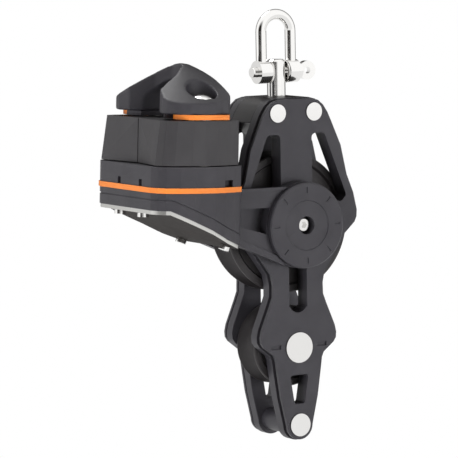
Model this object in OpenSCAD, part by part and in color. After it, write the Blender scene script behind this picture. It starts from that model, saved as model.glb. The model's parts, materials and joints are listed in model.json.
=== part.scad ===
// Fiddle block with an adjustable cam cleat arm and a swivel shackle.
// Millimetres. +Z runs up the block, Y is the sheave axis, the cleat arm reaches to -X.
// The origin is the inner crown of the shackle bow, where the block hangs.

/* [Shackle] */
// Diameter of the bow's round bar
bar_d = 4.2; // [3.6:0.1:5]
// Clear width between the legs of the bow
bow_gap = 9.2; // [8.6:0.1:11]
// Height from the pin's axis to the inner crown
bow_reach = 20.3; // [17:0.1:26]
// Diameter of the two eyes
eye_d = 9; // [8:0.1:11]
// Diameter of the shackle pin
pin_d = 4; // [3:0.1:4.4]
// Diameter of the pin's flat thumb tab
tab_d = 7.4; // [6:0.1:9]

/* [Swivel] */
// Diameter of the swivel post
post_d = 7.2; // [6.4:0.1:8]
// Height of the post above the pin's axis
post_top = 4.8; // [4:0.1:6]
// Distance from the pin's axis down to the top of the head
head_drop = 9.6; // [8:0.1:14]
// Diameter of the flange that holds the post in the head
flange_d = 10.6; // [9.6:0.1:11]
// Thickness of that flange
flange_t = 2.6; // [2:0.1:4]

/* [Cheeks] */
// Clear width between the cheeks
cheek_gap = 14.4; // [13:0.1:18]
// Thickness of a cheek
cheek_t = 6.8; // [5.5:0.1:8]
// Distance from the face back to the cove in the edge
lip_t = 1.3; // [0.8:0.1:1.8]
// Width of the cove in the edge
cove_w = 1.3; // [0.8:0.1:2]
// Depth of the cove in the edge
cove_depth = 1.3; // [0.6:0.1:1.8]
// How far the face is drawn in from the outline
lip_step = 0.4; // [0.2:0.05:0.6]
// Half width across the shoulders beside the main axle
shoulder_x = 28.2; // [27:0.1:32]
// Half width at the waist between the sheaves
waist_x = 11.8; // [10.5:0.1:14]
// Half width at the lower axle
bulge_x = 17.8; // [16.6:0.1:21]
// Distance from the becket pin down to the tip
tip_drop = 6.2; // [5:0.1:9]
// Half width of the band between the two upper windows
web_x = 7.2; // [6:0.1:9]
// Width of the slot below the hub
slot_w = 8.2; // [5:0.1:10]

/* [Axles] */
// Distance from the pin's axis to the main axle
main_drop = 59; // [58:0.2:66]
// Distance between the main and the lower axle
axle_gap = 48.6; // [47.6:0.1:54]
// Distance from the lower axle to the becket pin
becket_gap = 30.6; // [28:0.1:36]
// Diameter of the main axle
main_axle_d = 10; // [8:0.1:11]
// Diameter of the lower axle
lower_axle_d = 7; // [6:0.1:8]
// Diameter of the polished head on the lower axle
lower_head_d = 12; // [10:0.1:14]
// Diameter of the becket pin
becket_pin_d = 5; // [4:0.1:6]
// Diameter of the becket pin's head
becket_head_d = 9; // [7:0.1:10]
// Diameter of the becket spacer
spacer_d = 9; // [7:0.1:11]
// Half spacing of the head bolts
bolt_x = 8.3; // [8:0.1:9]
// Diameter of a head bolt's flush head
bolt_head_d = 7.1; // [6:0.1:7.6]
// Diameter of a head bolt's shank
bolt_d = 4; // [3:0.1:5]
// How far the polished heads stand proud
head_proud = 0.5; // [0.3:0.1:0.8]

/* [Sheaves] */
// Diameter of the main sheave
main_sheave_d = 55; // [50:0.5:56]
// Diameter of the lower sheave
lower_sheave_d = 32; // [26:0.5:33]
// Side clearance between a sheave and a cheek
side_gap = 0.4; // [0.3:0.05:0.8]
// Radius of the rope groove
groove_r = 6.2; // [5:0.1:7]
// Depth of the main groove
groove_depth = 4.6; // [3.5:0.1:5.5]
// Outer diameter of the main bearing hub
bearing_d = 18; // [15:0.1:20]
// Diameter of a bearing ball
ball_d = 4; // [3:0.1:4.4]
// Number of bearing balls
ball_count = 14; // [10:1:15]
// Running clearance of shafts in their holes
run_gap = 0.05; // [0.03:0.01:0.08]

/* [Cleat arm] */
// Rest angle of the arm above level
arm_tilt = 2.5; // [0:0.5:5]
// Diameter of the ring that the arm turns with
hub_d = 34; // [31:0.2:36]
// Diameter of the cheek boss that the arm turns on
boss_d = 20; // [17:0.1:22]
// Thickness of the arm ring
hub_t = 4.8; // [4:0.1:6]
// Diameter of the dial cap
dial_d = 33.4; // [30:0.1:35]
// Thickness of the dial cap
dial_t = 2.2; // [1.6:0.1:3.2]
// Thickness of the arm bars
bar_t = 3.6; // [2.8:0.1:4.6]
// Distance from the hub to the centre of the cleat
cleat_x = 50; // [49:0.2:56]
// Distance from the cleat's centre to its posts, towards the hub
post_shift = 2.4; // [0:0.1:3]
// Height of the base top above the hub
base_up = 23.7; // [22.6:0.1:28]
// Distance from the cleat's centre to the base's inner end
base_x = 18.6; // [18:0.1:19.4]
// Distance from the cleat's centre to the base's outer end
base_out = 19.2; // [18.8:0.1:20.4]
// Half width of the cleat base
base_y = 27.6; // [27:0.1:30]
// Height of the upper shell
riser_h = 8; // [7:0.1:10]
// Height of the coloured band
band_h = 2; // [1.4:0.1:2.6]
// How far the band stands proud
band_proud = 0.5; // [0.2:0.05:0.8]
// Height of the lip along the base's lower edge
rim_h = 3.9; // [2.6:0.1:5]
// Depth of the line that parts the lip from the wall
rim_line = 0.45; // [0.2:0.05:0.8]
// Thickness of the backing plate
plate_t = 1.5; // [1:0.1:2]
// Diameter of the plate screws
plate_screw_d = 2.6; // [2:0.1:3]
// Diameter of the plate screws' heads
plate_head_d = 4.4; // [4:0.1:5]
// Height of those heads
plate_head_h = 1.6; // [1:0.1:2]

/* [Cams and fairlead] */
// Spacing of the two cam posts
cam_spacing = 38; // [37.6:0.1:40]
// Height of a cam
cam_h = 17; // [14:0.1:20]
// How much a cam's outer side draws in towards its top
cam_draft = 0.1; // [0.02:0.01:0.16]
// Gap between the two cam faces at rest
jaw_gap = 0.6; // [0.6:0.1:2]
// Gap under and over each cam
cam_float = 0.4; // [0.3:0.05:0.6]
// Outer diameter of the cam bush
bush_d = 8.4; // [7.4:0.1:9]
// Diameter of the cleat screws
screw_d = 5; // [4:0.1:5.4]
// Diameter of the cleat screw's head
screw_head_d = 9; // [8:0.1:10]
// Thickness of the coloured bearing washer
washer_t = 1.9; // [1.2:0.1:2.4]
// Radius of that washer
washer_r = 11; // [10:0.1:12]
// Half length of a fairlead foot
foot_x = 14.4; // [13.6:0.1:15]
// Half width of a fairlead foot
foot_w = 10.2; // [9.6:0.1:10.8]
// Distance from the cleat's centre to the bridge's outer edge
bridge_in = 3.3; // [2:0.1:5]
// Distance from the cleat's centre to the bridge's hub edge
bridge_out = 12.6; // [11:0.1:14]
// Distance from the cleat's centre to the peak of the dome
dome_x = 4; // [2:0.1:6]
// Rise of the fairlead's peak above its feet
arch_rise = 18.8; // [17.6:0.1:22]
// Half width of the rope eye under the fairlead
eye_y = 9.6; // [8:0.1:10.4]
// Diameter of the fairlead's screw wells
well_d = 11.8; // [9.6:0.1:12.4]

/* [Hidden] */
$fn = 64;
// A little more than a face, so that a cut runs through it
cut = 0.5;
// Gap of a part that is fitted but doesn't turn
fit_gap = 0.1;

// Colours
shell_grey = [0.22, 0.21, 0.23];
dark_grey = [0.14, 0.14, 0.15];
steel = [0.82, 0.83, 0.85];
trim_orange = [0.93, 0.53, 0.18];
acetal_white = [0.9, 0.9, 0.88];

// Heights on the block's axis
pin_z = -bow_reach;
head_z = pin_z - head_drop;
main_z = pin_z - main_drop;
lower_z = main_z - axle_gap;
becket_z = lower_z - becket_gap;
// The cheeks end a hair below the head's top
cheek_up = head_z - 0.2 - main_z;
bolt_z = head_z - 5.8;

// Depths across the block
cheek_in = cheek_gap / 2;
cheek_out = cheek_in + cheek_t;
sheave_w = cheek_gap - 2 * side_gap;
hub_in = cheek_out + 0.3;
hub_out = hub_in + hub_t;
dial_in = hub_out + 0.2;
dial_out = dial_in + dial_t;
well_in = dial_out - 5;

// Shackle
bar_r = bar_d / 2;
bow_r = bow_gap / 2 + bar_r;
eye_x = bow_gap / 2 - 0.3;
eye_w = bar_d + 0.6;
// The bar draws down a hair where it is bent
bend_ease = 0.02;
collar_d = pin_d + 2.4;
collar_w = 1.6;

// Head block, which the swivel post hangs in
head_h = 15;
head_x = 12;
post_seat = head_z - 5.5;
flange_z = post_seat - flange_t;

// Cleat levels in the arm's own frame, measured from the hub
base_top = base_up;
band_top = base_top - riser_h;
band_bot = band_top - band_h;
shell_bot = 7;
cam_bot = base_top + cam_float;
cam_top = cam_bot + cam_h;
washer_bot = cam_top + cam_float;
foot_z = washer_bot + washer_t;
cam_y = cam_spacing / 2;
nut_z = 3.2;
nut_h = 3.4;
nut_d = 8.8;
spring_pocket_d = bush_d + 5.6;
spring_pocket_h = 5;
spring_wire = 0.8;
spring_turns = 3.5;

// Turns a profile in (radius, depth) about the Y axis
module turned() {
    rotate([90, 0, 0]) rotate_extrude() children();
}

// A cylinder along Y from depth y0 to y1
module rod_y(r, y0, y1) {
    translate([0, y0, 0]) rotate([-90, 0, 0]) cylinder(r = r, h = y1 - y0);
}

// A cylinder along X from x0 to x1
module rod_x(r, x0, x1) {
    translate([x0, 0, 0]) rotate([0, 90, 0]) cylinder(r = r, h = x1 - x0);
}

// Stands an (x, z) profile up and gives it depth from y0 to y1
module slab_y(y0, y1) {
    translate([0, y1, 0]) rotate([90, 0, 0]) linear_extrude(height = y1 - y0) children();
}

// Makes the pair of a part that sits on the front, -Y side
module both_sides() {
    children();
    mirror([0, 1, 0]) children();
}

// Makes the pair of a shape that sits at +X
module both_edges() {
    children();
    mirror([1, 0, 0]) children();
}

// The arm's own frame: the hub at its origin, turned to the rest angle
module on_arm() {
    translate([0, 0, main_z]) rotate([0, arm_tilt, 0]) children();
}

// Shackle
module shackle_bow() {
    color(steel) {
        translate([0, 0, -bow_gap / 2]) rotate([90, 0, 0])
            rotate_extrude(angle = 180) translate([bow_r, 0]) circle(r = bar_r - bend_ease);
        both_edges() {
            difference() {
                union() {
                    translate([bow_r, 0, pin_z]) cylinder(r = bar_r, h = bow_reach - bow_gap / 2 + 0.3);
                    translate([0, 0, pin_z]) rod_x(eye_d / 2, eye_x, eye_x + eye_w);
                }
                translate([0, 0, pin_z]) rod_x(pin_d / 2 + run_gap, eye_x - cut, eye_x + eye_w + cut);
            }
        }
    }
}

module shackle_pin() {
    color(steel) translate([0, 0, pin_z]) {
        rod_x(pin_d / 2, -eye_x - eye_w - 2.2, eye_x + eye_w + collar_w);
        rod_x(collar_d / 2, eye_x + eye_w + fit_gap, eye_x + eye_w + collar_w);
        translate([eye_x + eye_w + collar_w + tab_d / 2 - 0.6, 0, 0]) difference() {
            rod_y(tab_d / 2, -1.2, 1.2);
            rod_y(tab_d / 2 - 2.4, -1.2 - cut, 1.2 + cut);
        }
    }
}

module pin_washers() {
    color(steel) both_edges() translate([0, 0, pin_z]) difference() {
        rod_x(eye_d / 2 - 0.4, post_d / 2 + fit_gap, eye_x - fit_gap);
        rod_x(pin_d / 2 + run_gap, post_d / 2, eye_x);
    }
}

// Swivel post with its holding flange
module swivel_post() {
    color(steel) difference() {
        union() {
            translate([0, 0, flange_z]) cylinder(r = flange_d / 2, h = flange_t);
            translate([0, 0, flange_z]) cylinder(r = post_d / 2, h = pin_z + post_top - 0.8 - flange_z);
            translate([0, 0, pin_z + post_top - 0.8]) cylinder(r1 = post_d / 2, r2 = post_d / 2 - 0.8, h = 0.8);
        }
        translate([0, 0, pin_z]) rod_x(pin_d / 2 + run_gap, -post_d, post_d);
    }
}

// Outline of the head from its flat top to the shoulder, measured from the main axle
head_curve = [
    [7.6, cheek_up], [10.6, cheek_up - 0.8], [13, cheek_up - 2.8],
    [15, cheek_up - 5.8], [16.6, cheek_up - 9.2]
];

// Half of the cheek's outline
module cheek_half() {
    polygon(concat([[0, cheek_up]], head_curve, [
        [21, 30], [shoulder_x - 4.6, 18.4], [shoulder_x - 1.6, 11],
        [shoulder_x, 4], [shoulder_x - 0.2, 1.2], [shoulder_x - 1.2, -1],
        [22.4, -5.2], [20, -9.4], [16, -14.8], [waist_x + 0.9, -19.4], [waist_x, -23.6],
        [waist_x + 0.1, -28], [waist_x + 1.4, -31.4],
        [bulge_x - 0.7, -axle_gap + 8], [bulge_x, -axle_gap + 5], [bulge_x - 0.2, -axle_gap + 2.6],
        [bulge_x - 1.4, -axle_gap + 0.8], [waist_x, -axle_gap - 2.8], [waist_x - 0.8, -axle_gap - 4.6],
        [waist_x - 1.4, -axle_gap - 9], [waist_x - 3, -axle_gap - 19.6],
        [tip_drop - 0.1, -axle_gap - becket_gap - 0.6], [0, -axle_gap - becket_gap]
    ]));
}

module cheek_outline() {
    both_edges() cheek_half();
    translate([0, -axle_gap - becket_gap]) circle(r = tip_drop);
}

// One upper window of a cheek
module cheek_window() {
    offset(r = 1.6, $fn = 24) offset(delta = -1.6) polygon([
        [web_x, 34.6], [web_x + 1.6, 35.2], [web_x + 5.8, 35.2],
        [shoulder_x - 5.2, 10], [shoulder_x - 8, 7.4], [web_x, 14.6]
    ]);
}

module low_window() {
    offset(r = 1, $fn = 16) offset(delta = -1)
        polygon([[-4.2, -10.8], [4.2, -10.8], [2.3, -22.2], [-2.3, -22.2]]);
}

// A front cheek, with the boss that the arm turns on
module cheek() {
    difference() {
        union() {
            translate([0, 0, main_z]) {
                slab_y(-cheek_out + lip_t + cove_w, -cheek_in) cheek_outline();
                slab_y(-cheek_out + lip_t, -cheek_out + lip_t + cove_w) offset(delta = -cove_depth) cheek_outline();
                slab_y(-cheek_out, -cheek_out + lip_t) offset(delta = -lip_step) cheek_outline();
                rod_y(boss_d / 2, -hub_out, -cheek_out);
            }
        }
        translate([0, 0, main_z]) {
            slab_y(-cheek_out - cut, -cheek_in + cut) {
                both_edges() cheek_window();
                translate([0, -18.6]) square([slot_w, 12], center = true);
                translate([0, -34.8 + slot_w / 2]) circle(d = slot_w);
                translate([0, -24.6 - slot_w / 4]) square([slot_w, 12], center = true);
            }
            rod_y(main_axle_d / 2 + fit_gap, -hub_out - cut, -cheek_in + cut);
            rod_y(boss_d / 2 - 3, -hub_out - cut, -cheek_out + 0.6);
        }
        translate([0, 0, lower_z]) {
            slab_y(-cheek_out - cut, -cheek_in + cut) low_window();
            rod_y(lower_axle_d / 2 + fit_gap, -cheek_out - cut, -cheek_in + cut);
            rod_y(lower_head_d / 2 + fit_gap, -cheek_out - cut, -cheek_out + 1);
            both_edges() translate([8.2, -cheek_out - cut, -0.1]) cube([4.6, cut + 0.8, 1.6]);
        }
        translate([0, 0, becket_z]) {
            rod_y(becket_pin_d / 2 + fit_gap, -cheek_out - cut, -cheek_in + cut);
            rod_y(becket_head_d / 2 + fit_gap, -cheek_out - cut, -cheek_out + 1);
        }
        both_edges() translate([bolt_x, 0, bolt_z]) {
            rod_y(bolt_d / 2 + fit_gap, -cheek_out - cut, -cheek_in + cut);
            rod_y(bolt_head_d / 2 + fit_gap, -cheek_out - cut, -cheek_out + 1);
        }
    }
}

module front_cheek() {
    color(shell_grey) cheek();
}

module rear_cheek() {
    color(shell_grey) mirror([0, 1, 0]) cheek();
}

// The block that fills the head from cheek to cheek, arched clear of the rope below
module head_block() {
    head_low = head_z - head_h - main_z;
    color(dark_grey) difference() {
        slab_y(-cheek_in, cheek_in) translate([0, main_z]) rotate(90) polygon(mirrored([
            for (p = concat(head_curve, [[15.4, cheek_up - 10], [head_x, head_low + 1.2], [head_x - 1.6, head_low]]))
                [p[1], -p[0]]
        ]));
        translate([0, 0, head_z - head_h - cut]) cylinder(r = flange_d / 2 + 0.2, h = head_h + cut + post_seat - head_z + run_gap);
        translate([0, 0, post_seat - cut]) cylinder(r = post_d / 2 + run_gap, h = 20);
        both_edges() translate([bolt_x, 0, bolt_z]) rod_y(bolt_d / 2 + fit_gap, -cheek_in - cut, cheek_in + cut);
    }
}

// A pin across the block with a flush polished head at each end
module headed_pin(shank_r, head_r) {
    both_sides() rod_y(head_r, -cheek_out - head_proud, -cheek_out + 1 - fit_gap);
    rod_y(shank_r, -cheek_out, cheek_out);
}

module head_bolts() {
    color(steel) both_edges() translate([bolt_x, 0, bolt_z]) headed_pin(bolt_d / 2, bolt_head_d / 2);
}

module lower_axle() {
    color(steel) translate([0, 0, lower_z]) headed_pin(lower_axle_d / 2, lower_head_d / 2);
}

module becket_pin() {
    color(steel) translate([0, 0, becket_z]) headed_pin(becket_pin_d / 2, becket_head_d / 2);
}

module becket_spacer() {
    color(shell_grey) translate([0, 0, becket_z]) difference() {
        rod_y(spacer_d / 2, -cheek_in, cheek_in);
        rod_y(becket_pin_d / 2 + fit_gap, -cheek_in - cut, cheek_in + cut);
    }
}

// The main axle is a tube tapped at both ends for the dial screws
module main_axle() {
    color(steel) translate([0, 0, main_z]) difference() {
        rod_y(main_axle_d / 2, -cheek_out, cheek_out);
        rod_y(1.6, -cheek_out - cut, cheek_out + cut);
    }
}

module main_bearing_hub() {
    color(dark_grey) translate([0, 0, main_z]) difference() {
        rod_y(bearing_d / 2, -cheek_in, cheek_in);
        rod_y(main_axle_d / 2 + fit_gap, -cheek_in - cut, cheek_in + cut);
    }
}

module lower_bush() {
    color(dark_grey) translate([0, 0, lower_z]) difference() {
        rod_y(lower_axle_d / 2 + 1.6, -cheek_in, cheek_in);
        rod_y(lower_axle_d / 2 + fit_gap, -cheek_in - cut, cheek_in + cut);
    }
}

// The dial cap, with a spigot that plugs the cheek's boss
module dial() {
    translate([0, 0, main_z]) difference() {
        union() {
            turned() polygon([
                [0, dial_in], [dial_d / 2, dial_in], [dial_d / 2, dial_out - 0.5],
                [dial_d / 2 - 0.5, dial_out], [0, dial_out]
            ]);
            rod_y(boss_d / 2 - 3 - fit_gap, -dial_in, -well_in + 1.4);
        }
        turned() polygon([
            [0, dial_out - 0.4], [9.6, dial_out - 0.4], [10, dial_out + cut], [0, dial_out + cut]
        ]);
        rod_y(3.5, -dial_out - cut, -well_in);
        rod_y(1.5, -dial_out - cut, -well_in + 4);
        for (a = [0 : 45 : 315]) rotate([0, a, 0])
            translate([12.6, -dial_out - cut, -0.3]) cube([2.4, cut + 0.35, 0.6]);
    }
}

module front_dial() {
    color(shell_grey) dial();
}

module rear_dial() {
    color(shell_grey) mirror([0, 1, 0]) dial();
}

module dial_screws() {
    color(steel) both_sides() translate([0, 0, main_z]) difference() {
        union() {
            rod_y(2.35, -well_in - 2.2, -well_in);
            rod_y(1.4, -well_in, -cheek_in + 2);
        }
        translate([0, -well_in - 2.2 - cut, 0]) rotate([-90, 0, 0]) cylinder(d = 2.8, h = 1.4 + cut, $fn = 6);
    }
}

// Sheaves
module main_sheave() {
    r = main_sheave_d / 2;
    w = sheave_w / 2;
    lip = 1.3;
    bore = bearing_d / 2 + run_gap;
    track = ball_d + 2.4;
    race = bearing_d / 2 + run_gap + ball_d + 0.1;
    color(dark_grey) translate([0, 0, main_z]) turned() difference() {
        polygon([
            [bore, -w], [14.6, -w], [15.4, -w + 0.9], [r - 3.6, -w + 0.9], [r - 2.8, -w],
            [r - 0.4, -w], [r, -w + 0.4], [r, -w + lip], [r - groove_depth, -1.6],
            [r - groove_depth, 1.6], [r, w - lip], [r, w - 0.4], [r - 0.4, w],
            [r - 2.8, w], [r - 3.6, w - 0.9], [15.4, w - 0.9], [14.6, w], [bore, w]
        ]);
        translate([r - groove_depth + groove_r, 0]) circle(r = groove_r);
        translate([bore - 1, -track / 2]) square([race - bore + 1, track]);
    }
}

module bearing_balls() {
    ring_r = bearing_d / 2 + run_gap + ball_d / 2 + 0.05;
    color(steel) translate([0, 0, main_z])
        for (i = [0 : ball_count - 1]) rotate([0, i * 360 / ball_count, 0])
            translate([ring_r, 0, 0]) sphere(d = ball_d, $fn = 32);
}

// Two side rings and the bars between the balls
module bearing_cage() {
    ring_r = bearing_d / 2 + run_gap + ball_d / 2 + 0.05;
    reach = ball_d / 2 + 1;
    color(acetal_white) translate([0, 0, main_z]) {
        turned() for (y = [-reach, reach - 0.8]) translate([ring_r - 1.4, y]) square([2.8, 0.8]);
        for (i = [0 : ball_count - 1]) rotate([0, (i + 0.5) * 360 / ball_count, 0])
            translate([ring_r - 0.7, -reach + 0.1, -0.2]) cube([1.4, 2 * reach - 0.2, 0.4]);
    }
}

module lower_sheave() {
    r = lower_sheave_d / 2;
    w = sheave_w / 2;
    lip = 1.2;
    bore = lower_axle_d / 2 + 1.6 + run_gap;
    color(dark_grey) translate([0, 0, lower_z]) turned() difference() {
        polygon([
            [bore, -w], [8.6, -w], [9.2, -w + 0.8], [r - 3.2, -w + 0.8], [r - 2.6, -w],
            [r - 0.4, -w], [r, -w + 0.4], [r, -w + lip], [r - groove_depth, -1.6],
            [r - groove_depth, 1.6], [r, w - lip], [r, w - 0.4], [r - 0.4, w],
            [r - 2.6, w], [r - 3.2, w - 0.8], [9.2, w - 0.8], [8.6, w], [bore, w]
        ]);
        translate([r - groove_depth + groove_r, 0]) circle(r = groove_r);
    }
}

// Mirrors a list of points across the x axis and closes the outline
function mirrored(points) = concat(points, [for (i = [len(points) - 1 : -1 : 0]) [points[i][0], -points[i][1]]]);

// The base in plan, with a flat outer end and bulging sides
module base_plan() {
    translate([-cleat_x, 0]) polygon(mirrored([
        [-base_out, base_y - 8.2], [-base_out + 1.2, base_y - 5], [-base_out + 3.6, base_y - 2.6],
        [-base_out + 9, base_y - 0.8], [-base_out + 15, base_y], [0, base_y], [5, base_y - 0.3],
        [10, base_y - 1.5], [base_x - 3, base_y - 3.6], [base_x + 1, base_y - 5.6]
    ]));
}

// The line of the underside, from the flat end down to the hub
under_line = [
    [-cleat_x - base_out - 2, shell_bot], [-cleat_x - base_out + 5.4, shell_bot],
    [-cleat_x + 4.2, -0.6], [-cleat_x + 12, -4.4], [-12.4, -14.2]
];

// Height of the underside at a place x in front of the hub
function under_z(x) = lookup(x, under_line);

// Everything below the underside, to cut it away, lowered by d
module below_arm(d = 0) {
    slab_y(-40, 40) polygon(concat(
        [for (p = under_line) [p[0], p[1] - d]], [[10, -60], [-90, -60], [-90, shell_bot - d]]
    ));
}

// Outline of one arm, seen from the side
module arm_side() {
    difference() {
        union() {
            circle(d = hub_d);
            polygon([
                [-4, hub_d / 2 - 0.4], [-10, 14.4], [-cleat_x + base_x + 1, 13.6],
                [-cleat_x + base_x + 1, 6.7], [-13, 6.9], [-8, 4]
            ]);
            polygon([
                [-cleat_x + base_x + 1, 0.3], [-15, -3.8], [-6, -6], [-4, -16.6],
                [-12.4, -14.2], [-cleat_x + base_x + 1, under_z(-cleat_x + base_x + 1)]
            ]);
        }
    }
}

module arm_tongue(extra = 0) {
    translate([-cleat_x + 8 - extra, -hub_out + 0.9 - extra, 6.9 - extra])
        cube([base_x - 7 + extra, bar_t - 0.6 + 2 * extra, 5.6 + 2 * extra]);
}

module arm() {
    difference() {
        union() {
            slab_y(-hub_out + 0.4, -hub_out + 0.4 + bar_t) arm_side();
            rod_y(hub_d / 2, -hub_out, -hub_in);
            slab_y(-hub_out - 0.6, -hub_out + 2) difference() {
                polygon([
                    [-8, 15], [-10, 15], [-cleat_x + base_x + 1, 14.2],
                    [-cleat_x + base_x + 1, 13], [-10, 13.8], [-8, 14]
                ]);
                circle(d = dial_d + 0.8);
            }
            slab_y(-hub_out - 0.6, -hub_out + 2) difference() {
                polygon([
                    [-cleat_x + base_x + 1, under_z(-cleat_x + base_x + 1) + 2.7],
                    [-cleat_x + base_x + 1, under_z(-cleat_x + base_x + 1)],
                    [-12.4, -14.2], [-9, -15.6], [-10, -12.6]
                ]);
                circle(d = dial_d + 0.8);
            }
            arm_tongue();
        }
        rod_y(boss_d / 2 + run_gap, -hub_out - cut, -hub_in + cut);
    }
}

module front_arm() {
    color(shell_grey) on_arm() arm();
}

module rear_arm() {
    color(shell_grey) on_arm() mirror([0, 1, 0]) arm();
}

// Where the two cleat screws stand
module at_cam_posts() {
    both_sides() translate([-cleat_x + post_shift, -cam_y, 0]) children();
}

module base_lower() {
    color(shell_grey) on_arm() difference() {
        translate([0, 0, -20]) linear_extrude(height = band_bot + 20) base_plan();
        below_arm();
        both_sides() arm_tongue(fit_gap);
        at_cam_posts() {
            translate([0, 0, nut_z]) cylinder(d = screw_d + 2 * fit_gap, h = 60);
            translate([0, 0, nut_z + nut_h - 30]) cylinder(d = nut_d + 2 * fit_gap, h = 30);
        }
        translate([-cleat_x - 9, -13, shell_bot + 4]) mirror([0, 0, 1]) cube([20, 26, 30]);
        plate_screw_places() translate([0, 0, -1.5]) cylinder(d = plate_screw_d + 2 * fit_gap, h = 7);
        difference() {
            below_arm(-rim_h - 0.6);
            below_arm(-rim_h);
            translate([0, 0, -20]) linear_extrude(height = 40) offset(delta = -rim_line) base_plan();
        }
    }
}

module trim_band() {
    color(trim_orange) on_arm() difference() {
        translate([0, 0, band_bot]) linear_extrude(height = band_h) offset(delta = band_proud) base_plan();
        at_cam_posts() translate([0, 0, band_bot - cut]) cylinder(d = screw_d + 2 * fit_gap, h = band_h + 2 * cut);
        translate([-cleat_x + base_x + 1, -base_y - 2, band_bot - cut]) cube([4, 2 * base_y + 4, band_h + 2 * cut]);
    }
}

module base_upper() {
    vent_w = 2.2;
    vent_h = 2.7;
    color(shell_grey) on_arm() difference() {
        translate([0, 0, band_top]) linear_extrude(height = riser_h) base_plan();
        at_cam_posts() translate([0, 0, band_top - cut]) cylinder(d = screw_d + 2 * fit_gap, h = riser_h + 2 * cut);
        for (y = [-12.3, 4.1]) translate([-cleat_x - base_out - cut, y, band_top - cut])
            cube([4, vent_w, vent_h + cut]);
        both_sides() translate([-cleat_x + 9.4, -base_y - 1, band_top - cut]) cube([4.4, 6, vent_h + cut]);
    }
}

// The folded plate follows the underside and takes the nuts
module backing_plate() {
    color(steel) on_arm() difference() {
        intersection() {
            translate([0, 0, -20]) linear_extrude(height = 40) offset(delta = -0.4) base_plan();
            difference() {
                below_arm();
                below_arm(plate_t);
            }
        }
        plate_screw_places() translate([0, 0, -4]) cylinder(d = plate_screw_d + 2 * fit_gap, h = 8);
    }
}

// Where the plate screws stand, each square to the underside
module plate_screw_places() {
    slope_x = -cleat_x + base_x - 2.2;
    slope = atan2(under_z(slope_x - 1) - under_z(slope_x), 1);
    both_sides() {
        translate([-cleat_x - base_out + 2.8, -9, shell_bot]) children();
        translate([slope_x, -16.5, under_z(slope_x)]) rotate([0, slope, 0]) children();
    }
}

module plate_screws() {
    color(steel) on_arm() plate_screw_places() {
        translate([0, 0, -plate_t - fit_gap - plate_head_h]) cylinder(d = plate_head_d, h = plate_head_h);
        translate([0, 0, -plate_t - fit_gap - 0.5]) cylinder(d = plate_screw_d, h = 5);
    }
}

module cam_bushes() {
    color(steel) on_arm() at_cam_posts() difference() {
        translate([0, 0, base_top]) cylinder(d = bush_d, h = washer_bot - base_top);
        translate([0, 0, base_top - cut]) cylinder(d = screw_d + 2 * fit_gap, h = washer_bot - base_top + 2 * cut);
    }
}

module cleat_screws() {
    head_z0 = foot_z + 5;
    color(steel) on_arm() at_cam_posts() {
        translate([0, 0, nut_z]) cylinder(d = screw_d, h = head_z0 - nut_z);
        translate([0, 0, head_z0]) difference() {
            intersection() {
                cylinder(d = screw_head_d, h = 2.6);
                translate([0, 0, 2.6 - screw_head_d * 0.75]) sphere(r = screw_head_d * 0.75);
            }
            translate([0, 0, 1]) cylinder(d = 3.4, h = 2, $fn = 6);
        }
    }
}

// The nuts sit in pockets that the backing plate closes
module cleat_nuts() {
    color(steel) on_arm() at_cam_posts() difference() {
        translate([0, 0, nut_z]) cylinder(d = nut_d, h = nut_h, $fn = 6);
        translate([0, 0, nut_z - cut]) cylinder(d = screw_d + 2 * fit_gap, h = nut_h + 2 * cut);
    }
}

module cam_washers() {
    color(trim_orange) on_arm() at_cam_posts() difference() {
        translate([0, 0, washer_bot]) linear_extrude(height = washer_t) intersection() {
            circle(r = washer_r);
            translate([-washer_r - cut, -8.2]) square([2 * washer_r + 2 * cut, 16.6]);
        }
        translate([0, 0, washer_bot - cut]) cylinder(d = screw_d + 2 * fit_gap, h = washer_t + 2 * cut);
    }
}

// The fairlead in plan: two rounded feet joined by a bridge near the hub end
module fairlead_plan() {
    translate([-cleat_x, 0]) polygon(mirrored(concat(
        [[bridge_in, 0], [bridge_in - 0.7, 3.4], [-2.6, 8], [-8.2, 10.2], [-11.8, 11.8]],
        [for (a = [180 : -15 : 15]) [0.9 + foot_x * cos(a), cam_y - 1.8 + foot_w * sin(a)]],
        [[foot_x + 0.8, cam_y - 4], [foot_x + 0.6, 7], [bridge_out, 0]]
    )));
}

// The cone with a rounded peak that the fairlead's top follows
module fairlead_dome() {
    translate([-cleat_x + dome_x, 0, foot_z]) rotate_extrude() polygon([
        [0, 0], [34, 0], [34, arch_rise - 18.2], [9, arch_rise - 3.2],
        [6, arch_rise - 1.7], [3, arch_rise - 0.4], [0, arch_rise]
    ]);
}

module fairlead() {
    color(shell_grey) on_arm() difference() {
        intersection() {
            translate([0, 0, foot_z]) linear_extrude(height = arch_rise + 1) fairlead_plan();
            fairlead_dome();
        }
        translate([-cleat_x + 30, 0, 0]) rotate([90, 0, -90]) linear_extrude(height = 60) {
            translate([0, foot_z + 3.4]) circle(r = eye_y);
            translate([-eye_y, foot_z - cut]) square([2 * eye_y, 3.4 + cut]);
        }
        at_cam_posts() {
            translate([0, 0, foot_z - cut]) cylinder(d = screw_d + 2 * fit_gap, h = 30);
            translate([0, 0, foot_z + 5]) cylinder(d = well_d, h = 30);
        }
    }
}

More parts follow.
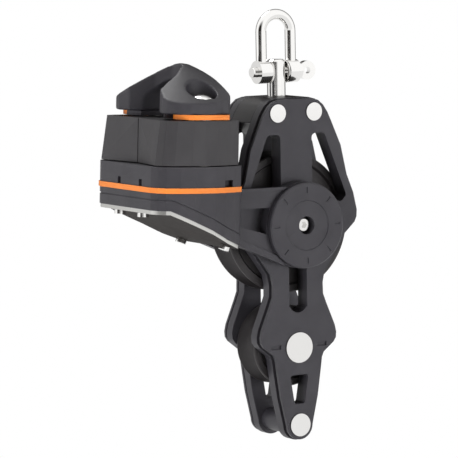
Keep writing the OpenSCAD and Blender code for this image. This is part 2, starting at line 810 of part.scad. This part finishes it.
// A round wire bent along a list of points, with its ends closed
module wire(points, d) {
    sides = 8;
    last = len(points) - 1;
    rings = [for (i = [0 : last])
        let(along = points[min(i + 1, last)] - points[max(i - 1, 0)],
            side = cross(along, [0.1, 0.2, 1]) / norm(cross(along, [0.1, 0.2, 1])),
            rise = cross(side, along) / norm(along))
        for (k = [0 : sides - 1])
            points[i] + d / 2 * (side * cos(k * 360 / sides) + rise * sin(k * 360 / sides))];
    polyhedron(rings, concat(
        [[for (k = [0 : sides - 1]) k]],
        [for (i = [0 : last - 1]) for (k = [0 : sides - 1]) let(n = (k + 1) % sides)
            [i * sides + k, (i + 1) * sides + k, (i + 1) * sides + n, i * sides + n]],
        [[for (k = [sides - 1 : -1 : 0]) last * sides + k]]
    ));
}

// Torsion springs: coils round the bush, with one leg out to the base and one to the cam
module cam_springs() {
    coil_r = bush_d / 2 + 0.3 + spring_wire / 2;
    low = base_top + 0.1 + spring_wire / 2;
    pitch = spring_wire + 0.12;
    leg = spring_pocket_d / 2 - coil_r - spring_wire;
    high = low + pitch * spring_turns;
    end = 360 * spring_turns;
    coil = [for (a = [0 : 24 : end]) [coil_r * cos(a), coil_r * sin(a), low + pitch * a / 360]];
    color(steel) on_arm() at_cam_posts()
        wire(concat(
            [[coil_r, -leg, low]], coil,
            [[coil_r * cos(end) - leg * sin(end), coil_r * sin(end) + leg * cos(end), high]]
        ), spring_wire);
}

// Outline of the front cam from its post, with +y towards the rope, its outer side scaled by k
function cam_outline(k) = let(face = cam_y - jaw_gap / 2) [for (p = [
    [-16.6, face], [-20.8, -1.6], [-19.4, -4.6], [-15, -6.6], [-8, -7.8], [-2, -8],
    [4, -7.5], [10, -5.8], [14.8, -3.4], [16.2, -1.6], [16, 1.4],
    [13.2, 6.4], [9.2, 10.8], [4.2, 14.4], [-2, 17], [-9.4, face - 0.3]
]) [p[0] < 0 && p[1] < 6 ? p[0] * k : p[0], max(p[1], p[1] * k)]];

// Grooves along the cam's face, which leave its teeth standing
module cam_teeth() {
    face = cam_y - jaw_gap / 2;
    for (x = [-14.6 : 2.3 : 1.6]) translate([x, face - 0.031 * pow(max(0, x + 9.4), 2) + 0.3, -cut])
        linear_extrude(height = cam_h + 2 * cut) rotate(45) square(1.3, center = true);
}

module cam() {
    slice = 0.2;
    translate([-cleat_x + post_shift, -cam_y, cam_bot]) difference() {
        hull() {
            linear_extrude(height = slice) polygon(cam_outline(1));
            translate([0, 0, cam_h - slice]) linear_extrude(height = slice) polygon(cam_outline(1 - cam_draft));
        }
        cam_teeth();
        translate([0, 0, -cut]) cylinder(d = bush_d + 2 * run_gap, h = cam_h + 2 * cut);
        translate([0, 0, -cut]) cylinder(d = spring_pocket_d, h = spring_pocket_h + cut);
    }
}

module front_cam() {
    color(dark_grey) on_arm() cam();
}

module rear_cam() {
    color(dark_grey) on_arm() mirror([0, 1, 0]) cam();
}

shackle_bow();
shackle_pin();
pin_washers();
swivel_post();
front_cheek();
rear_cheek();
head_block();
head_bolts();
main_axle();
main_bearing_hub();
lower_axle();
lower_bush();
becket_pin();
becket_spacer();
front_dial();
rear_dial();
dial_screws();
main_sheave();
bearing_balls();
bearing_cage();
lower_sheave();
front_arm();
rear_arm();
base_lower();
trim_band();
base_upper();
backing_plate();
plate_screws();
cam_bushes();
cleat_screws();
cleat_nuts();
cam_washers();
fairlead();
cam_springs();
front_cam();
rear_cam();
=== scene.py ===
# %% [markdown]
# # A fiddle block with a cam cleat
# This lesson dresses a rope block: moulded nylon shells, polished stainless fittings and two
# small parts in orange. The frame brings in the construction at its real size, so nothing here
# is moved or resized. We only give each piece its edges, its finish and the light it needs.

# %% Load the fixed frame
import json
import math
import bmesh
import bpy
from mathutils import Matrix, Vector

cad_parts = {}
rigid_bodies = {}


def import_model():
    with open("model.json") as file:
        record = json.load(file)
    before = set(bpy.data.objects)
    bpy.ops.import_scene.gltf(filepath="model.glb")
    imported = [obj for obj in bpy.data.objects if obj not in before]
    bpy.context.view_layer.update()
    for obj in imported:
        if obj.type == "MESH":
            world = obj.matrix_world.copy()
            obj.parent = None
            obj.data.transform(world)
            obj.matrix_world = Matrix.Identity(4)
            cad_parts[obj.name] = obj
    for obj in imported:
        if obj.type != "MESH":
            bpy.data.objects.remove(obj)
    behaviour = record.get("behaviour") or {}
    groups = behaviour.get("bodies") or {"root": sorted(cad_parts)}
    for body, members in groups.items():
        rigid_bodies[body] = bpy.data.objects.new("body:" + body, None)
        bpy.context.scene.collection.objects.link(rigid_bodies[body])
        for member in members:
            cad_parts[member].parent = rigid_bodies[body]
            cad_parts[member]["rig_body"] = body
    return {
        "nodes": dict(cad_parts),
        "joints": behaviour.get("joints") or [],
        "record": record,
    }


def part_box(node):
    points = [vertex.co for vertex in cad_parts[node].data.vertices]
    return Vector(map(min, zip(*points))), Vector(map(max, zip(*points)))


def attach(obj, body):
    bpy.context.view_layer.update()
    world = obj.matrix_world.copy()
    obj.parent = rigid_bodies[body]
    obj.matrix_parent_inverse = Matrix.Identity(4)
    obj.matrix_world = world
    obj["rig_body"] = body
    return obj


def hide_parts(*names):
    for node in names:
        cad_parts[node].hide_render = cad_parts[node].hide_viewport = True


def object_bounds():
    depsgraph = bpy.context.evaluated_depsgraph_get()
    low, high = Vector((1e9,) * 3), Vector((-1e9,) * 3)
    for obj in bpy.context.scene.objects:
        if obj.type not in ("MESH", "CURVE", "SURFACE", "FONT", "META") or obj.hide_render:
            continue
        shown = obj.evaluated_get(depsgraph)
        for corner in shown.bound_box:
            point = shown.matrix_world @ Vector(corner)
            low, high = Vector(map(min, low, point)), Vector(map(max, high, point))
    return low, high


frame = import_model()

nodes = frame["nodes"]
cad_box = [[float(c) for c in corner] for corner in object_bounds()]
print("construction box in metres:", cad_box)

# %% [markdown]
# Everything is in metres, but a maker thinks of such small parts in millimetres. One factor
# keeps the sizes below readable. The positions of the axles come from the joints of the frame.

# %% Sizes and axles
MM = 0.001

joint_at = {joint["name"]: Vector(joint["pos_m"]) for joint in frame["joints"]}
main_axle = joint_at["main_sheave_spin"]
lower_axle = joint_at["lower_sheave_spin"]
shackle_pin = joint_at["shackle_hinge"]
print("main axle at", main_axle, "lower axle at", lower_axle)

# %% [markdown]
# ## Materials
# A colour picked from a swatch is written as sRGB hex, and the shader wants linear light. One
# function turns the one into the other. Another adds a node, sets its values and makes its
# links, which keeps each material short enough to read.

# %% Colour and node helpers
def linear(hex_colour):
    """An sRGB hex colour such as "3a383c" as linear RGBA."""
    channels = [int(hex_colour[i:i + 2], 16) / 255 for i in (0, 2, 4)]
    curve = [c / 12.92 if c <= 0.04045 else ((c + 0.055) / 1.055) ** 2.4 for c in channels]
    return (*curve, 1.0)


def add_node(tree, kind, settings=None, inputs=None, links=None):
    """Adds a node of this kind, with its properties, socket values and incoming links."""
    node = tree.nodes.new(kind)
    for name, value in (settings or {}).items():
        setattr(node, name, value)
    for name, value in (inputs or {}).items():
        node.inputs[name].default_value = value
    for name, source in (links or {}).items():
        tree.links.new(source, node.inputs[name])
    return node


def new_material(name, **sockets):
    """A material with its shader, ready for more nodes."""
    material = bpy.data.materials.new(name)
    material.use_nodes = True
    tree = material.node_tree
    shader = tree.nodes["Principled BSDF"]
    for socket, value in sockets.items():
        shader.inputs[socket.replace("_", " ")].default_value = value
    place = add_node(tree, "ShaderNodeTexCoord").outputs["Object"]
    return material, tree, shader, place

# %% [markdown]
# The shells are glass-filled nylon, moulded in a spark-eroded tool. The tool leaves a fine
# matt grain, and the glass makes the grey a little uneven. The grain of the real part is about
# 0.2 mm, which is too fine for this picture, so it is drawn at 0.5 mm.

# %% Moulded nylon
def moulded_nylon(name, dark, pale, roughness, grain_mm=0.5, grain_height=0.035):
    """Matt moulded plastic: an uneven colour, a worked roughness and a fine grain."""
    material, tree, shader, place = new_material(name, IOR=1.53, Specular_IOR_Level=0.34)
    clouds = add_node(tree, "ShaderNodeTexNoise",
                      inputs={"Scale": 1 / (9 * MM), "Detail": 4.0, "Roughness": 0.6},
                      links={"Vector": place}).outputs["Fac"]
    tint = add_node(tree, "ShaderNodeValToRGB", links={"Fac": clouds})
    tint.color_ramp.elements[0].position = 0.3
    tint.color_ramp.elements[0].color = linear(dark)
    tint.color_ramp.elements[1].position = 0.7
    tint.color_ramp.elements[1].color = linear(pale)
    tree.links.new(tint.outputs["Color"], shader.inputs["Base Color"])
    worn = add_node(tree, "ShaderNodeTexNoise",
                    inputs={"Scale": 1 / (2.5 * MM), "Detail": 3.0},
                    links={"Vector": place}).outputs["Fac"]
    gloss = add_node(tree, "ShaderNodeMapRange",
                     inputs={"To Min": roughness - 0.05, "To Max": roughness + 0.06},
                     links={"Value": worn}).outputs["Result"]
    tree.links.new(gloss, shader.inputs["Roughness"])
    grain = add_node(tree, "ShaderNodeTexNoise",
                     inputs={"Scale": 1 / (grain_mm * MM), "Detail": 2.0},
                     links={"Vector": place}).outputs["Fac"]
    bump = add_node(tree, "ShaderNodeBump", inputs={"Strength": 0.35, "Distance": grain_height * MM},
                    links={"Height": grain}).outputs["Normal"]
    tree.links.new(bump, shader.inputs["Normal"])
    return material


shell_nylon = moulded_nylon("glass filled nylon, spark grain", "232226", "2a292d", 0.45)
sheave_nylon = moulded_nylon("sheave acetal, turned", "1c1a1b", "211f20", 0.42, grain_height=0.006)
cam_nylon = moulded_nylon("cam composite, moulded", "252426", "2b2a2c", 0.46)
print("nylons:", shell_nylon.name, "|", sheave_nylon.name, "|", cam_nylon.name)

# %% [markdown]
# The trim and the cams' bearing washers are dyed nylon. Dyed nylon is a little translucent, so
# light goes in and comes out warm. A small subsurface weight gives that depth.

# %% Orange nylon and white acetal
def dyed_nylon(name, colour, glow):
    """Plain coloured nylon with a little light going into it."""
    material = moulded_nylon(name, colour, colour, 0.44, grain_height=0.006)
    shader = material.node_tree.nodes["Principled BSDF"]
    shader.inputs["Subsurface Weight"].default_value = 0.12
    shader.inputs["Subsurface Radius"].default_value = glow
    shader.inputs["Subsurface Scale"].default_value = 0.6 * MM
    return material


trim_nylon = dyed_nylon("orange nylon, moulded", "b9692a", (1.0, 0.4, 0.1))
cage_acetal = dyed_nylon("white acetal, moulded", "e2e1dc", (1.0, 0.95, 0.9))

# %% [markdown]
# The fittings are 316 stainless steel. The bow, pins and rivet heads are tumbled and polished
# bright, with faint hairlines that only show as a soft smear in the highlights. The hidden
# plate and nuts keep the dull mill finish; the plate keeps it only on its sheared edges, and its broad faces
# are painted near black as painted shade.

# %% Stainless steel
def stainless(name, tint, roughness, smear):
    """Stainless steel with faint cloudy smears in its polish."""
    material, tree, shader, place = new_material(name, Metallic=1.0)
    shader.inputs["Base Color"].default_value = linear(tint)
    cloud = add_node(tree, "ShaderNodeTexNoise",
                     inputs={"Scale": 1 / (3 * MM), "Detail": 5.0, "Distortion": 0.4},
                     links={"Vector": place}).outputs["Fac"]
    polish = add_node(tree, "ShaderNodeMapRange",
                      inputs={"To Min": roughness - smear, "To Max": roughness + smear},
                      links={"Value": cloud}).outputs["Result"]
    tree.links.new(polish, shader.inputs["Roughness"])
    scratch = add_node(tree, "ShaderNodeTexNoise",
                       inputs={"Scale": 1 / (0.7 * MM), "Detail": 2.0},
                       links={"Vector": place}).outputs["Fac"]
    bump = add_node(tree, "ShaderNodeBump", inputs={"Strength": 0.15, "Distance": 0.004 * MM},
                    links={"Height": scratch}).outputs["Normal"]
    tree.links.new(bump, shader.inputs["Normal"])
    return material


bright_steel = stainless("316 stainless, polished", "e6e5e3", 0.09, 0.05)
dull_steel = stainless("316 stainless, mill finish", "c9c8c5", 0.30, 0.08)
# Painted shade: the plate gets a near-black colour because the underside of the base lies in shade, not
# because a black finish is known. Its low specular level keeps the white floor out of its reflection, as part
# of the same painted shade.
plate_painted_shade = moulded_nylon("steel plate, painted shade", "1c1917", "24201e", 0.7)
plate_painted_shade.node_tree.nodes["Principled BSDF"].inputs["Specular IOR Level"].default_value = 0.12

finish_of_slot = {
    "shell_plastic": shell_nylon,
    "sheave_plastic": sheave_nylon,
    "polished_stainless": bright_steel,
    "brushed_stainless": dull_steel,
    "orange_plastic": trim_nylon,
    "white_acetal": cage_acetal,
}
slot_of_node = {part["node"]: part["material_slot"] for part in frame["record"]["subparts"]}
for name, node in nodes.items():
    node.data.materials.clear()
    node.data.materials.append(finish_of_slot[slot_of_node[name]])
print(len(nodes), "nodes have a finish")

# %% [markdown]
# ## Camera
# The photograph was taken with a long lens a little to the left of the block and a little above
# it. A long lens keeps the sheaves' rims close to true ellipses. The camera leans by one degree,
# as the photograph does.

# %% Camera
view_azimuth = math.radians(-30.9)
view_elevation = math.radians(5.75)
view_lean = math.radians(-0.95)
focal_in_widths = 3500 / 458

forward = Vector((-math.sin(view_azimuth) * math.cos(view_elevation),
                  math.cos(view_azimuth) * math.cos(view_elevation),
                  -math.sin(view_elevation)))
level_right = forward.cross(Vector((0, 0, 1))).normalized()
level_up = level_right.cross(forward)
right = level_right * math.cos(view_lean) + level_up * math.sin(view_lean)
up = level_up * math.cos(view_lean) - level_right * math.sin(view_lean)

lens = bpy.data.cameras.new("long_lens")
lens.sensor_width = 36
lens.lens = focal_in_widths * lens.sensor_width
camera = bpy.data.objects.new("camera", lens)
turn = Matrix((right, up, -forward)).transposed().to_4x4()
camera.matrix_world = Matrix.Translation(Vector((-0.7207, -1.1663, 0.0560))) @ turn
bpy.context.scene.collection.objects.link(camera)
bpy.context.scene.camera = camera
bpy.context.scene.view_settings.view_transform = "Standard"
print("lens", round(lens.lens, 1), "mm")

# %% [markdown]
# ## Studio
# The block hangs in front of white paper. The paper must look white without flooding the block
# with light, so it is only bright to the camera and in reflections. What lights the block is a
# soft world and three large soft boxes. Polished steel has no colour of its own: it needs
# something dark to mirror, so the world also has a dark side to the left of the camera.

# %% World
world = bpy.data.worlds.new("white_studio")
bpy.context.scene.world = world
world.use_nodes = True
sky = world.node_tree
sky.nodes.clear()
look = add_node(sky, "ShaderNodeTexCoord").outputs["Generated"]
ray = add_node(sky, "ShaderNodeLightPath")
fill = add_node(sky, "ShaderNodeBackground", inputs={"Color": linear("f0e4da"), "Strength": 0.36})


def dark_flag(direction, from_dot, to_dot, colour):
    """White, but dark where a ray looks within a cone about a direction."""
    toward = add_node(sky, "ShaderNodeVectorMath", settings={"operation": "DOT_PRODUCT"},
                      inputs={1: Vector(direction).normalized()}, links={0: look}).outputs["Value"]
    ramp = add_node(sky, "ShaderNodeValToRGB", links={"Fac": toward})
    ramp.color_ramp.elements[0].position = from_dot
    ramp.color_ramp.elements[0].color = linear("ffffff")
    ramp.color_ramp.elements[1].position = to_dot
    ramp.color_ramp.elements[1].color = linear(colour)
    return ramp.outputs["Color"]


left_flag = dark_flag((-0.82, -0.57, 0.0), 0.70, 0.93, "1c1714")
back_flag = dark_flag((0.51, 0.86, -0.05), 0.30, 0.88, "2a2622")
both_flags = add_node(sky, "ShaderNodeMix", settings={"data_type": "RGBA", "blend_type": "MULTIPLY"})
both_flags.inputs["Factor"].default_value = 1.0
sky.links.new(left_flag, both_flags.inputs[6])
sky.links.new(back_flag, both_flags.inputs[7])
mirrored = add_node(sky, "ShaderNodeBackground", inputs={"Strength": 1.22},
                    links={"Color": both_flags.outputs[2]})
paper = add_node(sky, "ShaderNodeBackground", inputs={"Color": linear("ffffff"), "Strength": 1.0})

glossy = add_node(sky, "ShaderNodeMixShader",
                  links={0: ray.outputs["Is Glossy Ray"], 1: fill.outputs[0], 2: mirrored.outputs[0]})
clear = add_node(sky, "ShaderNodeMath", settings={"operation": "MAXIMUM"},
                 links={0: ray.outputs["Is Camera Ray"], 1: ray.outputs["Is Transmission Ray"]})
seen = add_node(sky, "ShaderNodeMixShader",
                links={0: clear.outputs[0], 1: glossy.outputs[0], 2: paper.outputs[0]})
add_node(sky, "ShaderNodeOutputWorld", links={"Surface": seen.outputs[0]})

# %% [markdown]
# The soft boxes are area lamps. A large lamp close by gives the broad, gentle highlights of
# the photograph. The key comes from high on the left, a second one fills the lower right, and
# a third skims the top and the back so that the dark shells part from each other.

# %% Soft boxes
def soft_box(name, place, target, size, watts, mirrored=False):
    """A square area lamp that looks at a target, and shows in reflections if it is mirrored."""
    lamp = bpy.data.lights.new(name, "AREA")
    lamp.shape = "SQUARE"
    lamp.size = size
    lamp.energy = watts
    holder = bpy.data.objects.new(name, lamp)
    aim = (Vector(target) - Vector(place)).to_track_quat("-Z", "Y")
    holder.matrix_world = Matrix.Translation(Vector(place)) @ aim.to_matrix().to_4x4()
    holder.visible_glossy = mirrored
    bpy.context.scene.collection.objects.link(holder)
    return holder


middle = (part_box("front_cheek")[0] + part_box("rear_cheek")[1]) / 2
soft_box("key_box", (-0.90, -0.30, -0.12), middle, 0.5, 14)
soft_box("fill_box", (0.42, -1.00, -0.25), middle, 0.6, 25)
soft_box("rim_box", (-0.1, 0.45, 0.8), middle, 0.5, 5, mirrored=True)

# %% [markdown]
# The floor is far below the hanging block. It is plain and pale, and the same colour as the
# background to the camera, so that no horizon shows.

# %% Floor
floor_mesh = bpy.data.meshes.new("floor")
sheet = bmesh.new()
bmesh.ops.create_grid(sheet, x_segments=1, y_segments=1, size=3.0,
                      matrix=Matrix.Translation((0, 0, cad_box[0][2] - 0.12)))
sheet.to_mesh(floor_mesh)
sheet.free()
floor = bpy.data.objects.new("floor", floor_mesh)
bpy.context.scene.collection.objects.link(floor)
floor_paper, floor_tree, floor_shader, floor_place = new_material("white paper", Roughness=0.9)
floor_shader.inputs["Base Color"].default_value = linear("f4f4f4")
floor_ray = add_node(floor_tree, "ShaderNodeLightPath")
floor_glow = add_node(floor_tree, "ShaderNodeEmission", inputs={"Color": linear("ffffff"), "Strength": 1.0})
floor_seen = add_node(floor_tree, "ShaderNodeMath", settings={"operation": "MAXIMUM"},
                      links={0: floor_ray.outputs["Is Camera Ray"], 1: floor_ray.outputs["Is Glossy Ray"]})
floor_mix = add_node(floor_tree, "ShaderNodeMixShader",
                     links={0: floor_seen.outputs[0], 1: floor_shader.outputs[0], 2: floor_glow.outputs[0]})
floor_tree.links.new(floor_mix.outputs[0], floor_tree.nodes["Material Output"].inputs["Surface"])
floor_mesh.materials.append(floor_paper)

# %% [markdown]
# ## Moulded shells
# A moulded edge is never sharp: the tool's corners are rounded by a few tenths of a millimetre,
# and that small round is what catches the light. We copy a node's mesh, weld its loose
# triangles, dissolve the flat ones into whole faces and bevel what is left sharp.

# %% Dressing a shell
def welded(node):
    """A bmesh of a node with its loose triangles joined and its flat faces made whole."""
    shell = bmesh.new()
    shell.from_mesh(nodes[node].data)
    bmesh.ops.remove_doubles(shell, verts=shell.verts, dist=0.002 * MM)
    bmesh.ops.dissolve_limit(shell, angle_limit=math.radians(0.5), use_dissolve_boundaries=False,
                             verts=shell.verts, edges=shell.edges, delimit={"NORMAL"})
    return shell


def place_piece(name, shell, body, slot, smooth=35.0):
    """Makes a piece of a bmesh, smooth but for its sharp edges, riding on a body."""
    mesh = bpy.data.meshes.new(name)
    shell.to_mesh(mesh)
    shell.free()
    for face in mesh.polygons:
        face.use_smooth = True
    mesh.set_sharp_from_angle(angle=math.radians(smooth))
    piece = bpy.data.objects.new(name, mesh)
    bpy.context.scene.collection.objects.link(piece)
    mesh.materials.append(finish_of_slot[slot])
    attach(piece, body)
    return piece


arm_up = Vector((math.sin(math.radians(2.5)), 0, math.cos(math.radians(2.5))))


def soften_corners(shell, along, width_mm):
    """Rounds the corners of a wall, which run along a direction, so that it curves in plan."""
    def corners(low, high):
        return [
            edge for edge in shell.edges
            if len(edge.link_faces) == 2 and edge.calc_length() > 1.5 * MM
            and abs((edge.verts[0].co - edge.verts[1].co).normalized().dot(along)) > 0.97
            and math.radians(low) < edge.calc_face_angle() < math.radians(high)
        ]
    bmesh.ops.bevel(shell, geom=corners(30, 75), offset=width_mm * MM, offset_type="OFFSET",
                    segments=4, profile=0.5, affect="EDGES", clamp_overlap=True)
    bmesh.ops.bevel(shell, geom=corners(4, 30), offset=1.5 * width_mm * MM, offset_type="OFFSET",
                    segments=3, profile=0.5, affect="EDGES", clamp_overlap=True)


def dress(node, edge_mm, segments=3, angle=32.0, finish=None, corner_mm=0.0):
    """A copy of a node with rounded edges stands for it."""
    shell = welded(node)
    if corner_mm:
        soften_corners(shell, arm_up, corner_mm)
    piece = place_piece(node + "_moulded", shell, nodes[node]["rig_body"], slot_of_node[node])
    rounding = piece.modifiers.new("rounded edges", "BEVEL")
    rounding.width = edge_mm * MM
    rounding.segments = segments
    rounding.limit_method = "ANGLE"
    rounding.angle_limit = math.radians(angle)
    rounding.use_clamp_overlap = True
    rounding.harden_normals = True
    if finish is not None:
        piece.data.materials[0] = finish
    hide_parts(node)
    return piece


edge_of_shell = {
    "front_cheek": 0.45, "rear_cheek": 0.45, "head_block": 1.2, "front_dial": 0.35, "rear_dial": 0.35,
    "front_arm": 0.35, "rear_arm": 0.35, "base_lower": 0.5, "base_upper": 0.5,
    "front_cam": 0.6, "rear_cam": 0.6, "trim_band": 0.3, "backing_plate": 0.55,
}
corner_of_shell = {
    "base_lower": 1.3, "base_upper": 1.3, "trim_band": 1.3, "front_cam": 1.6, "rear_cam": 1.6,
    "backing_plate": 1.3,
}
for node, edge in edge_of_shell.items():
    finish = cam_nylon if node.endswith("_cam") else None
    piece = dress(node, edge, finish=finish, corner_mm=corner_of_shell.get(node, 0.0))
    print(node, len(piece.data.polygons), "faces")

# %% [markdown]
# The folded plate under the base is painted near black on its broad faces, as painted shade for the shaded
# underside of the base, and its sheared edges are bright.
# The faces that look sideways take the bright finish, and the rounded corners keep the near-black painted
# shade.

# %% Sheared edges and painted shade of the plate
plate = bpy.data.objects["backing_plate_moulded"]
plate.data.materials.clear()
plate.data.materials.append(plate_painted_shade)
plate.data.materials.append(dull_steel)
plate.modifiers["rounded edges"].material = 0
# Faces that look up or down get the near-black painted shade; faces that look sideways get bright steel.
for face in plate.data.polygons:
    face.material_index = 1 if abs(face.normal.z) < 0.6 else 0

# %% [markdown]
# The fairlead is polished by the rope, so nothing on it is sharp. Its copy is cast again in
# small voxels and then smoothed, which rounds every edge by about a millimetre.

# %% Fairlead, rounded all over
fairlead = place_piece("fairlead_moulded", welded("fairlead"), nodes["fairlead"]["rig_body"],
                       slot_of_node["fairlead"], smooth=180.0)
recast = fairlead.modifiers.new("small voxels", "REMESH")
recast.mode = "VOXEL"
recast.voxel_size = 0.45 * MM
recast.use_smooth_shade = True
ease = fairlead.modifiers.new("eased", "SMOOTH")
ease.factor = 0.5
ease.iterations = 9
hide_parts("fairlead")

# %% [markdown]
# Each cam's orange washer is a crescent that reaches outwards from its post. The rope side of
# the ring is open, so it is cut away at the post.

# %% Crescent washers
arm_tilt = Matrix.Rotation(math.radians(2.5), 4, "Y")
post_y = abs(joint_at["front_cam_open"].y)
for name, side in (("front_washer", -1), ("rear_washer", 1)):
    crescent = welded("cam_washers")
    cut = bmesh.ops.bisect_plane(
        crescent, geom=crescent.verts[:] + crescent.edges[:] + crescent.faces[:],
        plane_co=(0, side * (post_y - 2.6 * MM), 0), plane_no=(0, side, 0), clear_inner=True)
    open_edges = [edge for edge in crescent.edges if edge.is_boundary]
    bmesh.ops.holes_fill(crescent, edges=open_edges)
    washer = place_piece(name, crescent, nodes["cam_washers"]["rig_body"], "orange_plastic")
    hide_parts("cam_washers")

    post = joint_at["front_cam_open"]
    seat = bmesh.new()
    seat_r = 14.2 * MM
    bmesh.ops.create_cone(seat, cap_ends=True, segments=48, radius1=seat_r, radius2=seat_r, depth=1.8 * MM)
    seat_middle = main_axle + arm_tilt @ Vector((-47.6 * MM, side * post_y, 42.45 * MM))
    bmesh.ops.transform(seat, matrix=Matrix.Translation(seat_middle) @ arm_tilt, verts=seat.verts)
    for y, facing in ((post_y - 4.4 * MM, -side), (9.2 * MM, side)):
        bmesh.ops.bisect_plane(
            seat, geom=seat.verts[:] + seat.edges[:] + seat.faces[:],
            plane_co=(0, side * y, 0), plane_no=(0, facing, 0), clear_inner=True)
        bmesh.ops.holes_fill(seat, edges=[edge for edge in seat.edges if edge.is_boundary])
    place_piece(name.replace("washer", "seat"), seat, nodes["fairlead"]["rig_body"], slot_of_node["fairlead"])
